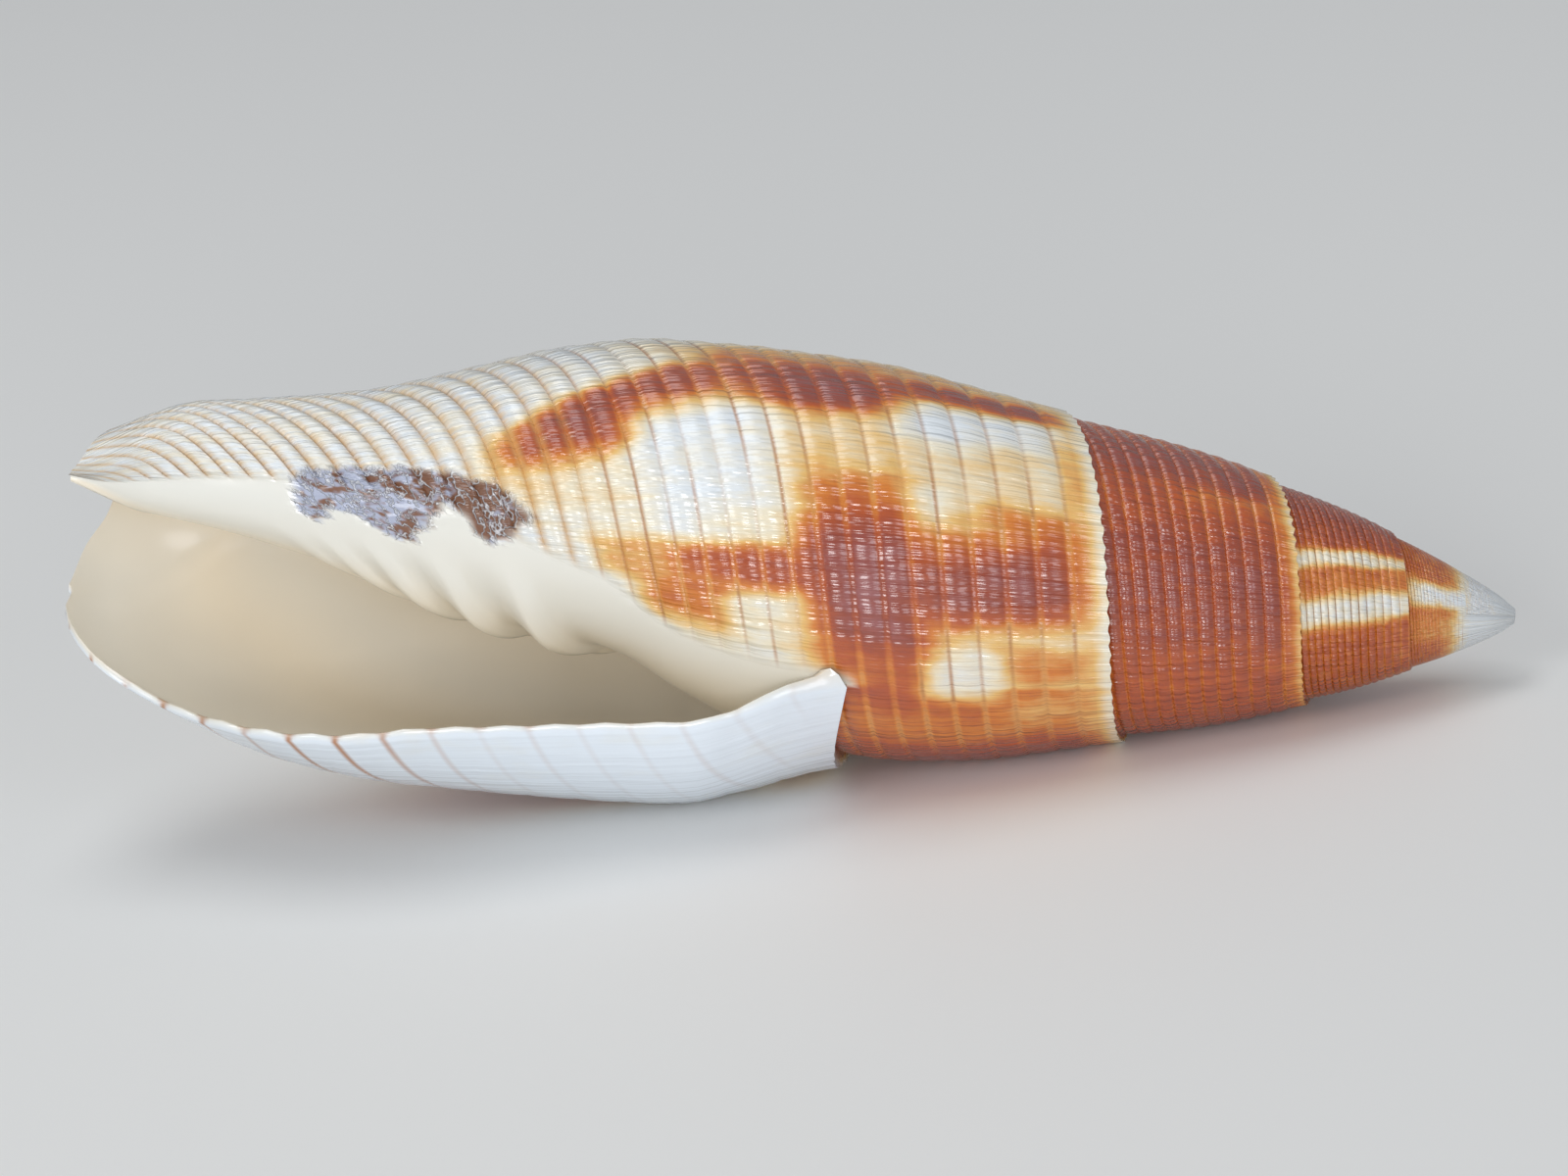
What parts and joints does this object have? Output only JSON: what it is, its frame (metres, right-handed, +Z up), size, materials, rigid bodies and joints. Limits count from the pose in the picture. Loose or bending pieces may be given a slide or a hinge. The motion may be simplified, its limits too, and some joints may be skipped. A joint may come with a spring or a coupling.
{
  "type": "mitre shell",
  "caption": "Slim spindle-shaped mitre shell lying on its side, with a pointed spire, stepped sutures, a long open mouth behind a thin lip, and slanting folds on the inner pillar.",
  "frame": {"origin": "on the surface the shell lies on, under the middle of its overall box", "axes": "+X towards the apex, -Y the side the mouth faces, +Z up"},
  "size_m": [0.0594, 0.0192, 0.0186],
  "materials": {
    "shell": "natural shell, cream to white with red-brown and orange blotches, semi-gloss"
  },
  "bodies": {
    "root": {"shell": "shell"}
  },
  "joints": []
}
